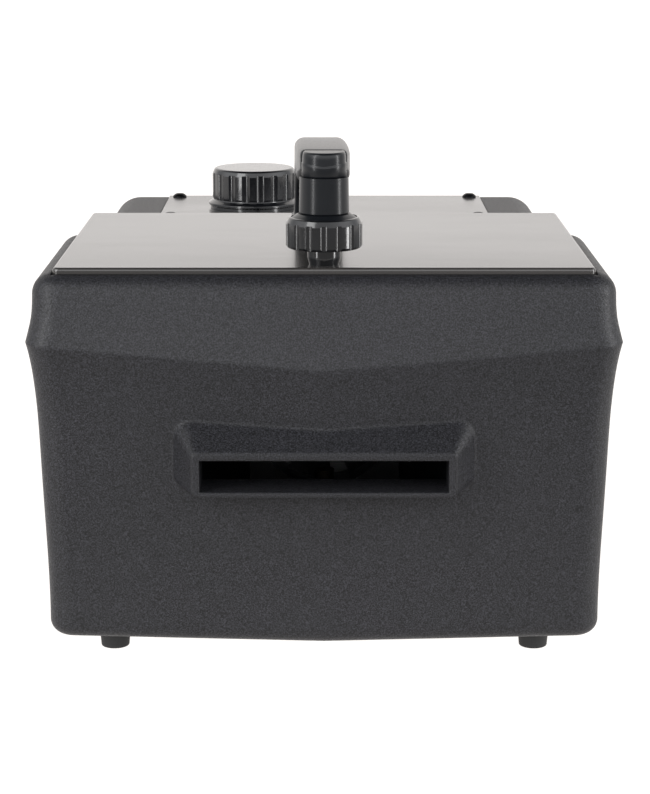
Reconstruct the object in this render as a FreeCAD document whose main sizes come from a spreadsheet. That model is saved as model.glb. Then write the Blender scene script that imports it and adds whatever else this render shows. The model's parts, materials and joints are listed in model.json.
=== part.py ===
import FreeCAD, Part
import os

import Sketcher
from FreeCAD import Placement, Rotation, Vector

# Compact touring fog machine, in millimetres.
# +Z is up, the front with the fog outlet faces -Y, and +X is to the right of someone
# looking at the outlet. The origin is the middle of the footprint, on the floor.

# ---------------------------------------------------------------- driving dimensions
DIMENSIONS = {
    "floor and feet": {
        "foot_height": 13, "foot_top": 8.1, "foot_bottom": 7.05, "foot_x": 106,
        "foot_front": -176.4, "foot_rear": 190,
    },
    "lid": {
        "lid_top": 197.5, "lid_half": 130.5, "lid_front": -201, "lid_back": -6,
        "lid_sheet": 2, "lid_fold": 9, "lid_corner": 3, "lid_bend": 1.6,
        "gasket_half": 126, "gasket_width": 9, "gasket_height": 2.6,
    },
    "moulded covers": {
        "wall": 3.5, "cover_top": 195, "cover_half": 136.3, "cover_flank": -206.5,
        "cover_prow": -216, "cover_corner": 13, "cover_back": -69,
        "ridge_z": 162, "ridge_flare": 7.7, "crease_z": 151, "crease_flare": 5.6,
        "under_slope": 0.3, "brow_lean": 0.217, "brow_lean_prow": 0.357,
        "lip_round": 10.5, "foot_round": 7.5,
        "ear_half": 131.3, "recess_front": -201.8, "ear_round": 7,
        "rear_half": 139, "rear_front": -4, "rear_back": 230, "shoulder": 17,
        "rear_bottom": 10, "rear_edge": 8,
    },
    "outlet hood": {
        "hood_front": -230, "hood_half": 63.1, "hood_low": 91.3, "hood_high": 112.9,
        "hood_corner": 2.5, "hood_root": -204, "hood_side": 0.6, "hood_slope": 0.82,
        "hood_root_corner": 12, "slot_half": 59.5, "slot_low": 93.8, "slot_high": 109.5,
        "tunnel_wall": 3.5, "tunnel_end": -204,
    },
    "sheet chassis": {
        "pan_half": 127.5, "pan_sheet": 2, "pan_low": 17.7, "pan_front": -198,
        "pan_back": 222, "bay_top": 192.7, "bay_back": -11, "shelf_z": 186, "deck_pan": 170.7,
        "flange": 14, "front_flange": 24, "deck_flange": 40, "hinge_y": -2.5, "hinge_z": 193.5,
        "knuckle": 2.8, "pin": 1.3, "pin_clearance": 0.05, "hinge_half": 110,
        "vent_length": 44, "vent_height": 4, "vent_pitch": 9, "vent_first": 52, "vents": 11,
    },
    "deck": {
        "deck_top": 176.5, "deck_sheet": 2, "deck_half": 103, "deck_front": 0.5,
        "deck_fold": 8, "screw_x": 96, "screw_y": 223, "screw_front": 131, "screw_head": 4.5,
        "screw_dome": 2.5, "screw_shank": 1.9,
    },
    "lock and handle": {
        "lock_y": -188.3, "neck": 8.1, "neck_top": 205.4, "knob_radius": 18.56,
        "knob_low": 205.7, "knob_high": 220.7, "knob_ribs": 16, "disc": 15.55, "disc_low": 218.6,
        "disc_rim": 220.4, "disc_top": 222.2, "ferrule": 11.8, "ferrule_foot": 12.1,
        "ferrule_top": 240, "nose": 10.3, "nose_top": 252, "bolt": 3.5, "spindle": 6,
        "spindle_bore": 3.55, "bush_bore": 6.05, "tongue_reach": 20,
        "lock_gap": 13, "tongue_low": 184,
        "tongue_high": 187, "grip_half": 13.3, "grip_round": 5, "crest": 254.5,
        "grip_back": -51, "grip_back_z": 243.3, "leg_outer": -30, "leg_inner": -50,
    },
    "tank and cap": {
        "cap_x": -45, "cap_y": 173, "cap_radius": 26.7, "cap_rim": 29, "cap_low": 179,
        "cap_high": 202.2, "cap_bore": 24, "cap_ceiling": 198, "cap_ribs": 18,
        "neck_radius": 20.6, "neck_bore": 18, "neck_end": 194.2, "tank_left": -110,
        "tank_right": 25, "tank_front": 28, "tank_back": 196, "tank_low": 26, "tank_high": 150,
        "tank_wall": 3, "tank_round": 10,
    },
    "fog works": {
        "duct_front": -203.5, "duct_back": -96, "duct_wall": 2, "fan_half": 42,
        "fan_depth": 26, "fan_bore": 39, "fan_hub": 17, "fan_blade": 37, "fan_blades": 7,
        "heater_half": 55, "heater_front": -185, "heater_back": -107, "heater_low": 26,
        "heater_high": 52, "lagging": 4, "nozzle_x": 0, "nozzle_y": -160, "nozzle": 5,
        "pump_x": 92, "pump_z": 40, "pump_front": -90, "pump_back": -26,
    },
    "rear panel": {
        "panel_half": 105, "panel_low": 26, "panel_high": 169.8, "panel_face": 224,
        "panel_sheet": 2, "window_half": 100, "window_low": 32, "inlet_x": -66, "inlet_z": 62,
        "switch_x": -18, "switch_z": 62, "fuse_x": -66, "fuse_z": 100, "xlr_in_x": 34,
        "xlr_out_x": 72, "xlr_z": 62, "display_x": 53, "display_z": 142, "buttons_z": 112,
        "button_pitch": 15, "button": 4,
    },
}

doc = FreeCAD.newDocument("FogMachine")
sheet = doc.addObject("Spreadsheet::Sheet", "dims")


def fill_sheet():
    row = 1
    for group, values in DIMENSIONS.items():
        sheet.set("A%d" % row, "'" + group)
        row += 1
        for alias, number in values.items():
            sheet.set("A%d" % row, "'" + alias)
            sheet.set("B%d" % row, str(number))
            sheet.setAlias("B%d" % row, alias)
            row += 1
    doc.recompute()


fill_sheet()
ALIASES = sorted((name for group in DIMENSIONS.values() for name in group), key=len, reverse=True)
NODES = {}


# ---------------------------------------------------------------- helpers
def cells(text):
    """Write the sheet's name in front of each alias of an expression."""
    words = []
    word = ""
    for letter in str(text) + " ":
        if letter.isalnum() or letter == "_":
            word += letter
            continue
        words.append("dims." + word if word in ALIASES else word)
        words.append(letter)
        word = ""
    return "".join(words).strip()


def size(text):
    return float(sheet.evalExpression(cells(text)))


def bind(obj, **sizes):
    for name, text in sizes.items():
        obj.setExpression(name, cells(text))


def place(obj, x="0", y="0", z="0"):
    for axis, text in zip("xyz", (x, y, z)):
        obj.setExpression("Placement.Base." + axis, cells(text))


def keep(obj, name):
    """Name a finished sub-part."""
    obj.Label = name
    NODES[name] = obj
    return obj


def box(x0, x1, y0, y1, z0, z1):
    solid = doc.addObject("Part::Box", "Block")
    bind(solid, Length="(%s) - (%s)" % (x1, x0), Width="(%s) - (%s)" % (y1, y0),
         Height="(%s) - (%s)" % (z1, z0))
    place(solid, x0, y0, z0)
    return solid


TURN = {
    "z": Rotation(),
    "y": Rotation(Vector(1, 0, 0), -90),
    "x": Rotation(Vector(0, 1, 0), 90),
}


def rod(radius, length, x="0", y="0", z="0", axis="z"):
    solid = doc.addObject("Part::Cylinder", "Rod")
    bind(solid, Radius=radius, Height=length)
    solid.Placement = Placement(Vector(), TURN[axis])
    place(solid, x, y, z)
    return solid


def hexagon(radius, length, x="0", y="0", z="0", axis="z"):
    solid = doc.addObject("Part::Prism", "Hexagon")
    solid.Polygon = 6
    bind(solid, Circumradius=radius, Height=length)
    solid.Placement = Placement(Vector(), TURN[axis])
    place(solid, x, y, z)
    return solid


def group(*parts):
    if len(parts) == 1:
        return parts[0]
    compound = doc.addObject("Part::Compound", "Group")
    compound.Links = list(parts)
    return compound


def fuse(*parts):
    joined = doc.addObject("Part::MultiFuse", "Joined")
    joined.Shapes = list(parts)
    joined.Refine = True
    return joined


def common(*parts):
    shared = doc.addObject("Part::MultiCommon", "Shared")
    shared.Shapes = list(parts)
    return shared


def cut(base, *tools):
    result = doc.addObject("Part::Cut", "Cut")
    result.Base = base
    result.Tool = tools[0] if len(tools) == 1 else fuse(*tools)
    return result


def round_edges(base, radius, wanted):
    """Fillet the edges of base that wanted(edge) picks."""
    doc.recompute()
    picked = [i for i, edge in enumerate(base.Shape.Edges, 1) if wanted(edge)]
    rounded = doc.addObject("Part::Fillet", "Rounded")
    rounded.Base = base
    rounded.Edges = [(i, size(radius), size(radius)) for i in picked]
    return rounded


def along(axis):
    """Pick the straight edges that run along one axis."""
    direction = {"x": Vector(1, 0, 0), "y": Vector(0, 1, 0), "z": Vector(0, 0, 1)}[axis]

    def wanted(edge):
        if edge.Curve.TypeId != "Part::GeomLine":
            return False
        return abs(abs(edge.tangentAt(edge.FirstParameter).dot(direction)) - 1) < 1e-6

    return wanted


def body():
    return doc.addObject("PartDesign::Body", "Body")


def plane(owner, role):
    return next(item for item in owner.Origin.OriginFeatures if item.Role == role)


def sketch_on(owner, role, offset="0"):
    sketch = owner.newObject("Sketcher::SketchObject", "Sketch")
    sketch.AttachmentSupport = [(plane(owner, role), "")]
    sketch.MapMode = "FlatFace"
    sketch.setExpression("AttachmentOffset.Base.z", cells(offset))
    return sketch


def constrain(sketch, kind, where, text):
    """Add a dimension and bind it to its expression."""
    index = sketch.addConstraint(Sketcher.Constraint(kind, *where, size(text)))
    sketch.setExpression("Constraints[%d]" % index, cells(text))


def outline(sketch, corners):
    """Draw a closed outline through corners (x, y) or, with a rounding, (x, y, radius)."""
    spots = [Vector(size(corner[0]), size(corner[1]), 0) for corner in corners]
    count = len(spots)
    sides = []
    for i in range(count):
        sides.append(sketch.addGeometry(Part.LineSegment(spots[i], spots[(i + 1) % count])))
    for i in range(count):
        joint = Sketcher.Constraint("Coincident", sides[i], 2, sides[(i + 1) % count], 1)
        sketch.addConstraint(joint)
    for i, corner in enumerate(corners):
        geometry = sides[i]
        if len(corner) > 2:
            radius = size(corner[2])
            before = spots[i - 1] - spots[i]
            after = spots[(i + 1) % count] - spots[i]
            before.normalize()
            after.normalize()
            sketch.fillet(sides[i - 1], sides[i], spots[i] + before * radius / 2,
                          spots[i] + after * radius / 2, radius, True, True)
            for added in (sketch.GeometryCount - 2, sketch.GeometryCount - 1):
                if isinstance(sketch.Geometry[added], Part.Point):
                    geometry = added
                else:
                    arc = added
            constrain(sketch, "Radius", (arc,), corner[2])
        constrain(sketch, "DistanceX", (-1, 1, geometry, 1), corner[0])
        constrain(sketch, "DistanceY", (-1, 1, geometry, 1), corner[1])
    return sketch


def circle(sketch, x, y, radius):
    ring = sketch.addGeometry(Part.Circle(Vector(size(x), size(y), 0), Vector(0, 0, 1),
                                          size(radius)))
    constrain(sketch, "Radius", (ring,), radius)
    constrain(sketch, "DistanceX", (-1, 1, ring, 3), x)
    constrain(sketch, "DistanceY", (-1, 1, ring, 3), y)
    return sketch


def rectangle(x0, x1, y0, y1, radius=None):
    corners = [(x0, y0), (x1, y0), (x1, y1), (x0, y1)]
    return [corner + (radius,) for corner in corners] if radius else corners


def pad(owner, sketch, length, side="One side", reverse=False):
    feature = owner.newObject("PartDesign::Pad", "Pad")
    feature.Profile = sketch
    feature.SideType = side
    feature.Reversed = reverse
    bind(feature, Length=length)
    return feature


def pocket(owner, sketch, length, side="One side", reverse=False):
    feature = owner.newObject("PartDesign::Pocket", "Pocket")
    feature.Profile = sketch
    feature.SideType = side
    feature.Reversed = reverse
    bind(feature, Length=length)
    return feature


def loft(owner, sketches, ruled):
    feature = owner.newObject("PartDesign::AdditiveLoft", "Loft")
    feature.Profile = sketches[0]
    feature.Sections = sketches[1:]
    feature.Ruled = ruled
    return feature


def revolve(corners, x="0", y="0", z="0"):
    """Turn a profile of (radius, height) corners round its own upright axis."""
    owner = body()
    profile = outline(sketch_on(owner, "XZ_Plane"), corners)
    feature = owner.newObject("PartDesign::Revolution", "Revolution")
    feature.Profile = profile
    feature.ReferenceAxis = (plane(owner, "Z_Axis"), [""])
    feature.Angle = 360
    place(owner, x, y, z)
    return owner


def polar_pattern(owner, original, count):
    """Repeat one feature round the upright axis of its body."""
    pattern = owner.newObject("PartDesign::PolarPattern", "Pattern")
    pattern.Originals = [original]
    pattern.Axis = (plane(owner, "Z_Axis"), [""])
    pattern.Angle = 360
    bind(pattern, Occurrences=count)
    owner.Tip = pattern
    return pattern


def ring_of_flutes(owner, low, high, at, radius, count):
    """Cut round-bottomed grooves, evenly spaced, down the side of a turned body."""
    doc.recompute()
    sketch = circle(sketch_on(owner, "XY_Plane", low), at, "0", radius)
    groove = pocket(owner, sketch, "(%s) - (%s)" % (high, low), reverse=True)
    polar_pattern(owner, groove, count)
    return owner


def section(owner, inset, height, half, flank, prow):
    """Level section of the front cover: square back, round corners and a shallow V prow."""
    back = "cover_back"
    corner = "cover_corner - " + inset
    return outline(sketch_on(owner, "XY_Plane", height), [
        ("-(%s)" % half, back),
        ("-(%s)" % half, flank, corner),
        ("0", prow),
        (half, flank, corner),
        (half, back),
    ])


# ---------------------------------------------------------------- front cover
def front_form(inset):
    """Solid form of the front cover, drawn in by inset: a skirt that flares up to a ridge,
    met by a brow that leans back above it. Their meeting line is the V-shaped crease."""
    skirt = body()
    levels = []
    for height, flare in (
        ("foot_height", "0"),
        ("45", "0.2"),
        ("75", "1.3"),
        ("105", "2.4"),
        ("130", "3.5"),
        ("142", "4.5"),
        ("crease_z", "crease_flare"),
        ("ridge_z", "ridge_flare"),
        ("lid_top + 4", "ridge_flare + 0.23 * (lid_top + 4 - ridge_z)"),
    ):
        spread = "(%s - %s)" % (flare, inset)
        levels.append(section(skirt, inset, height, "cover_half + " + spread,
                              "cover_flank - " + spread, "cover_prow - " + spread))
    loft(skirt, levels, False)

    brow = body()
    levels = []
    for height, spread in (
        ("foot_height - 1", "ridge_flare + under_slope * (ridge_z - foot_height + 1)"),
        ("ridge_z - 60", "ridge_flare + under_slope * 60"),
        ("ridge_z - 14", "ridge_flare + under_slope * 14"),
        ("ridge_z", "ridge_flare"),
        ("ridge_z + 6", "ridge_flare - 1.5"),
        ("ridge_z + 12", "ridge_flare - 2.7"),
        ("ridge_z + 20", "ridge_flare - 3.2"),
        ("ridge_z + 30", "ridge_flare - 3.5"),
        ("lid_top + 5", "ridge_flare - 3.7"),
    ):
        lean = "ridge_flare + brow_lean * (ridge_z - (%s))" % height
        prow = "crease_flare + brow_lean_prow * (crease_z - (%s))" % height
        levels.append(section(brow, inset, height, "cover_half + %s - %s" % (spread, inset),
                              "cover_flank - (%s) + %s" % (lean, inset),
                              "cover_prow - (%s) + %s" % (prow, inset)))
    loft(brow, levels, False)
    return common(skirt, brow)


def hood_form():
    """Outlet hood: a rectangle at the mouth that spreads and rises towards the cover."""
    owner = body()
    run = "(hood_root - hood_front)"
    mouth = outline(sketch_on(owner, "XZ_Plane", "-hood_front"), [
        ("-hood_half", "hood_low", "hood_corner"), ("hood_half", "hood_low", "hood_corner"),
        ("hood_half", "hood_high", "hood_corner"), ("-hood_half", "hood_high", "hood_corner")])
    half = "hood_half + hood_side * " + run
    high = "hood_high + hood_slope * " + run
    root = outline(sketch_on(owner, "XZ_Plane", "-hood_root"), [
        ("-(%s)" % half, "hood_low", "hood_root_corner"),
        (half, "hood_low", "hood_root_corner"),
        (half, high, "hood_root_corner"), ("-(%s)" % half, high, "hood_root_corner")])
    loft(owner, [mouth, root], True)
    return owner


def front_cover():
    form = cut(front_form("0"), box("-200", "200", "-260", "0", "cover_top", "lid_top + 20"))

    def lip(edge):
        limits = edge.BoundBox
        return limits.ZMin > size("cover_top") - 0.01 and limits.YMin < size("cover_back") - 1

    def sole(edge):
        limits = edge.BoundBox
        return limits.ZMax < size("foot_height") + 0.01 and limits.YMin < size("cover_back") - 1

    def ear_end(edge):
        limits = edge.BoundBox
        return limits.YMin > size("cover_back") - 0.01 and limits.ZLength > 20

    form = round_edges(form, "foot_round", sole)
    form = round_edges(form, "lip_round", lip)
    form = round_edges(form, "ear_round", ear_end)
    form = fuse(form, hood_form())

    hollow = front_form("wall")
    inside = common(hollow, box("-200", "200", "-300", "cover_back - wall",
                                "foot_height + wall", "cover_top - wall"))
    back_door = box("-(pan_half + 0.4)", "pan_half + 0.4", "cover_back - wall - 1",
                    "cover_back + 1", "foot_height + wall", "cover_top + 5")
    recess = box("-ear_half", "ear_half", "recess_front", "cover_back + 1",
                 "lid_top - lid_fold - 1", "cover_top + 5")
    tunnel = box("-(slot_half + tunnel_wall)", "slot_half + tunnel_wall", "-225",
                 "tunnel_end", "slot_low - tunnel_wall", "slot_high + tunnel_wall")
    shell = cut(form, cut(inside, tunnel), back_door, recess)
    slot = box("-slot_half", "slot_half", "hood_front - 1", "tunnel_end + 1",
               "slot_low", "slot_high")
    holes = [rod("2.1", "wall + 4", x, "foot_front", "foot_height - 2")
             for x in ("foot_x", "-foot_x")]
    keep(cut(shell, slot, *holes), "front_cover")


# ---------------------------------------------------------------- rear cover
def rear_form(inset, front, back):
    owner = body()
    high = "deck_top - " + inset
    half = "rear_half - " + inset
    front_view = outline(sketch_on(owner, "XZ_Plane", "-(%s)" % front), [
        ("-(cover_half - %s)" % inset, "foot_height + " + inset, "rear_bottom - " + inset),
        ("cover_half - " + inset, "foot_height + " + inset, "rear_bottom - " + inset),
        (half, high, "shoulder - " + inset), ("-(%s)" % half, high, "shoulder - " + inset)])
    pad(owner, front_view, "(%s) - (%s)" % (back, front), reverse=True)
    return owner


def rear_cover():
    form = rear_form("0", "rear_front", "rear_back")

    def rear_rim(edge):
        return edge.BoundBox.YMin > size("rear_back") - 0.01

    form = round_edges(form, "rear_edge", rear_rim)
    inside = rear_form("wall", "rear_front + wall", "rear_back - wall")
    front_door = box("-(pan_half + 0.4)", "pan_half + 0.4", "rear_front - 1",
                     "rear_front + wall + 1", "foot_height + wall", "deck_top + 1")
    deck_well = box("-(deck_half + 0.4)", "deck_half + 0.4", "rear_front - 1",
                    "rear_back - wall + 1", "deck_pan", "deck_top + 1")
    window = box("-window_half", "window_half", "rear_back - wall - 1", "rear_back + 1",
                 "window_low", "deck_top + 1")
    fold_gap = box("-(deck_half + 0.4)", "deck_half + 0.4", "rear_back - wall - 1",
                   "rear_back + 1", "deck_top - deck_fold - 0.5", "deck_top + 1")
    holes = [rod("2.1", "wall + 4", x, "foot_rear", "foot_height - 2")
             for x in ("foot_x", "-foot_x")]
    keep(cut(form, inside, front_door, deck_well, window, fold_gap, *holes), "rear_cover")


# ---------------------------------------------------------------- chassis
def chassis():
    owner = body()
    side = outline(sketch_on(owner, "YZ_Plane"), [
        ("pan_front", "pan_low"), ("pan_back", "pan_low"), ("pan_back", "deck_pan"),
        ("-0.5", "deck_pan"), ("-0.5", "shelf_z"), ("bay_back", "shelf_z"),
        ("bay_back", "bay_top"), ("pan_front", "bay_top")])
    pad(owner, side, "pan_half * 2", "Symmetric")
    inside = outline(sketch_on(owner, "YZ_Plane"), rectangle(
        "pan_front + pan_sheet", "pan_back + 1", "pan_low + pan_sheet", "bay_top + 1"))
    pocket(owner, inside, "(pan_half - pan_sheet) * 2", "Symmetric")
    inner = "pan_half - pan_sheet"
    flanges = []
    for sign in ("-", ""):
        edges = sorted((sign + "(%s)" % inner, sign + "(%s - flange)" % inner), key=size)
        flanges.append(box(*edges, "pan_front + pan_sheet", "-28",
                           "bay_top - pan_sheet", "bay_top"))
        edges = sorted((sign + "(%s)" % inner, sign + "(%s - deck_flange)" % inner), key=size)
        flanges.append(box(*edges, "deck_front + 2", "pan_back - 2",
                           "deck_pan - pan_sheet", "deck_pan"))
    pan = fuse(owner, *flanges)
    rails = [box(x0, x1, "pan_front + pan_sheet", "pan_front + front_flange",
                 "bay_top - pan_sheet", "bay_top")
             for x0, x1 in (("-(%s - flange)" % inner, "-lock_gap"),
                            ("lock_gap", "%s - flange" % inner))]
    duct_window = box("-66", "66", "pan_front - 1", "pan_front + pan_sheet + 1",
                      "slot_low - 9", "slot_high + 9")
    vents = []
    for i in range(int(size("vents"))):
        low = "vent_first + vent_pitch * %d" % i
        vents.append(box("-200", "200", "-60", "-60 + vent_length", low, low + " + vent_height"))
    feet = [rod("2.1", "6", x, y, "pan_low - 2") for x in ("foot_x", "-foot_x")
            for y in ("foot_front", "foot_rear")]
    screws = [rod("2", "8", x, y, "deck_pan - 5") for x in ("screw_x", "-screw_x")
              for y in ("screw_y - 8", "screw_front")]
    keep(group(cut(pan, duct_window, group(*vents), group(*feet), group(*screws)), *rails),
         "chassis_pan")


def bulkhead():
    owner = body()
    profile = outline(sketch_on(owner, "YZ_Plane"), [
        ("-2.6", "pan_low + pan_sheet"), ("-2.6", "shelf_z"), ("bay_back", "shelf_z"),
        ("bay_back", "bay_top"), ("-27", "bay_top"), ("-27", "bay_top - pan_sheet"),
        ("bay_back - pan_sheet", "bay_top - pan_sheet"),
        ("bay_back - pan_sheet", "shelf_z - pan_sheet"), ("-4.6", "shelf_z - pan_sheet"),
        ("-4.6", "pan_low + pan_sheet")])
    pad(owner, profile, "(pan_half - pan_sheet - flange - 0.2) * 2", "Symmetric")
    keep(cut(owner, rod("6", "20", "pump_x", "-12", "pump_z", "y")), "bay_bulkhead")


def deck():
    top = box("-deck_half", "deck_half", "deck_front", "rear_back",
              "deck_top - deck_fold", "deck_top")
    under = box("-(deck_half + 1)", "deck_half + 1", "deck_front - 1",
                "rear_back - deck_sheet", "deck_top - deck_fold - 1", "deck_top - deck_sheet")
    side_folds = []
    for x0, x1 in (("-deck_half", "-deck_half + deck_sheet"),
                   ("deck_half - deck_sheet", "deck_half")):
        side_folds.append(box(x0, x1, "deck_front", "rear_back", "deck_pan + 0.1",
                              "deck_top - deck_sheet"))
    plate = fuse(cut(top, under), *side_folds)
    holes = [rod("screw_shank + 0.1", "8", x, y, "deck_top - 5")
             for x in ("screw_x", "-screw_x") for y in ("screw_y", "screw_front")]
    neck_hole = rod("neck_radius + 0.5", "8", "cap_x", "cap_y", "deck_top - 5")
    keep(cut(plate, neck_hole, *holes), "rear_top_panel")
    screws = []
    for x in ("screw_x", "-screw_x"):
        for y in ("screw_y", "screw_front"):
            dome = "screw_dome"
            head = revolve([("0", "0"), ("screw_head", "0"), ("screw_head", dome + " * 0.3"),
                            ("screw_head * 0.6", dome, "3"), ("0", dome)], x, y, "deck_top")
            screws.append(fuse(head, rod("screw_shank", "6.5", x, y, "deck_top - 6")))
    keep(group(*screws), "deck_screws")


# ---------------------------------------------------------------- lid, hinge and seal
def lid():
    outer = box("-lid_half", "lid_half", "lid_front", "lid_back", "lid_top - lid_fold",
                "lid_top")
    outer = round_edges(outer, "lid_corner", along("z"))

    def top_rim(edge):
        return edge.BoundBox.ZMin > size("lid_top") - 0.01

    outer = round_edges(outer, "lid_bend", top_rim)
    inner = box("-(lid_half - lid_sheet)", "lid_half - lid_sheet", "lid_front + lid_sheet",
                "lid_back - lid_sheet", "lid_top - lid_fold - 1", "lid_top - lid_sheet")
    lock_hole = rod("neck - 0.6", "10", "0", "lock_y", "lid_top - 5")
    leg_holes = [rod("2.1", "10", x, "leg_inner + 10", "lid_top - 5") for x in ("-7", "7")]
    keep(cut(outer, inner, lock_hole, *leg_holes), "lid")

    frame = []
    for inset in ("0", "gasket_width"):
        frame.append(box("-(gasket_half - %s)" % inset, "gasket_half - " + inset,
                         "-194 + " + inset, "-14 - " + inset,
                         "lid_top - lid_sheet - gasket_height", "lid_top - lid_sheet"))
    gap = box("-lock_gap - 2", "lock_gap + 2", "-196", "-180", "bay_top - 2", "lid_top")
    ring = cut(frame[0], frame[1], gap)
    keep(ring, "lid_gasket")


def hinge():
    count = 5
    pitch = "(hinge_half * 2 / %d)" % count
    sets = {"fixed": [], "moving": []}
    for i in range(count):
        left = "-hinge_half + %s * %d + 0.2" % (pitch, i)
        knuckle = rod("knuckle", pitch + " - 0.4", left, "hinge_y", "hinge_z", "x")
        right = left + " + %s - 0.4" % pitch
        if i % 2 == 0:
            leaf = [box(left, right, "-2.6", "-1.2", "168", "hinge_z")]
            sets["fixed"] += [knuckle] + leaf
        else:
            leaf = [box(left, right, "lid_back", "lid_back + 1.1", "189.2", "hinge_z + 2.8"),
                    box(left, right, "lid_back", "hinge_y", "hinge_z + 1.4", "hinge_z + 2.8")]
            sets["moving"] += [knuckle] + leaf
    fixed_plate = box("-hinge_half", "hinge_half", "-2.6", "-1.2", "168", "186")
    bore = rod("pin", "hinge_half * 2 + 4", "-hinge_half - 2", "hinge_y", "hinge_z", "x")
    bore_wide = rod("pin + pin_clearance", "hinge_half * 2 + 4", "-hinge_half - 2", "hinge_y",
                    "hinge_z", "x")
    keep(cut(fuse(fixed_plate, *sets["fixed"]), bore), "hinge_leaf_fixed")
    moving = []
    for i in range(0, len(sets["moving"]), 3):
        moving.append(fuse(*sets["moving"][i:i + 3]))
    keep(cut(group(*moving), bore_wide), "hinge_leaf_moving")
    keep(rod("pin", "hinge_half * 2 + 1", "-hinge_half - 0.5", "hinge_y", "hinge_z", "x"),
         "hinge_pin")


# ---------------------------------------------------------------- lock knob and handle
def lock():
    low = "lid_top - lid_sheet - 2"
    keep(revolve([
        ("bush_bore", low), ("neck + 2.5", low), ("neck + 2.5", "lid_top - lid_sheet"),
        ("neck - 0.6", "lid_top - lid_sheet"), ("neck - 0.6", "lid_top"),
        ("neck - 0.9", "lid_top"), ("neck", "lid_top + 3.5", "4"), ("neck", "neck_top"),
        ("bush_bore", "neck_top")], "0", "lock_y"), "lock_bush")

    tube = revolve([("spindle_bore", "tongue_low"), ("spindle", "tongue_low"),
                    ("spindle", "knob_low + 8"), ("spindle_bore", "knob_low + 8")],
                   "0", "lock_y")
    tongue = box("-4", "4", "lock_y + spindle - 1", "lock_y + tongue_reach", "tongue_low",
                 "tongue_high")
    keep(fuse(tube, tongue), "lock_spindle")

    knob = revolve([
        ("spindle", "0"), ("knob_radius - 1", "0", "1.5"),
        ("knob_radius", "1.4"), ("knob_radius", "11.8"),
        ("knob_radius - 1.6", "knob_high - knob_low", "1.2"),
        ("disc + 0.35", "knob_high - knob_low"),
        ("disc + 0.35", "disc_low - knob_low - 0.3"),
        ("bolt + 0.4", "disc_low - knob_low - 0.3"), ("bolt + 0.4", "8"), ("spindle", "8"),
    ], "0", "lock_y", "knob_low")
    ring_of_flutes(knob, "-1", "12.4", "knob_radius + 1.55", "2.3", "knob_ribs")
    keep(knob, "lock_knob")

    keep(revolve([("bolt", "disc_low"), ("disc - 0.6", "disc_low"), ("disc", "disc_low + 0.6"),
                  ("disc", "disc_rim"), ("ferrule + 0.8", "disc_top"),
                  ("bolt", "disc_top")], "0", "lock_y"), "handle_disc")

    keep(revolve([("bolt", "disc_top"), ("ferrule_foot - 0.5", "disc_top"),
                  ("ferrule_foot", "disc_top + 0.8"), ("ferrule", "ferrule_top"),
                  ("bolt", "ferrule_top")], "0", "lock_y"), "handle_ferrule")

    shank = rod("bolt", "ferrule_top - tongue_low + 14", "0", "lock_y", "tongue_low - 5")
    nut = hexagon("6", "4", "0", "lock_y", "tongue_low - 4.3")
    keep(fuse(shank, nut), "handle_bolt")


def handle():
    owner = body()
    front = "lock_y + 2.3"
    side = outline(sketch_on(owner, "YZ_Plane"), [
        (front, "ferrule_top"), (front, "crest - 1.5", "6"), ("-148", "crest", "120"),
        ("grip_back", "grip_back_z", "20"), ("leg_outer", "lid_top"), ("leg_inner", "lid_top"),
        ("-66", "226", "14"), ("-160", "232", "20"), ("-176.5", "ferrule_top")])
    pad(owner, side, "grip_half * 2", "Symmetric")

    def long_edges(edge):
        limits = edge.BoundBox
        flat = limits.XLength < 0.01
        return flat and limits.ZMax > size("ferrule_top - 16") and limits.ZLength < 60

    grip = round_edges(owner, "grip_round - 0.5", long_edges)
    foot = box("-15", "15", "leg_inner - 3", "leg_outer + 5", "lid_top", "lid_top + 3.5")
    nose = rod("nose", "nose_top - ferrule_top", "0", "lock_y", "ferrule_top")
    shape = fuse(grip, nose, round_edges(foot, "4", along("z")))
    bore = rod("bolt", "10", "0", "lock_y", "ferrule_top - 1")
    holes = [rod("2.1", "14", x, "leg_inner + 10", "lid_top - 1") for x in ("-7", "7")]
    keep(cut(shape, bore, *holes), "carry_handle")
    screws = []
    for x in ("-7", "7"):
        head = rod("4", "2.4", x, "leg_inner + 10", "lid_top - lid_sheet - 2.4")
        screws.append(fuse(head, rod("2", "12", x, "leg_inner + 10", "lid_top - lid_sheet - 1")))
    keep(group(*screws), "handle_screws")


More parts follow.
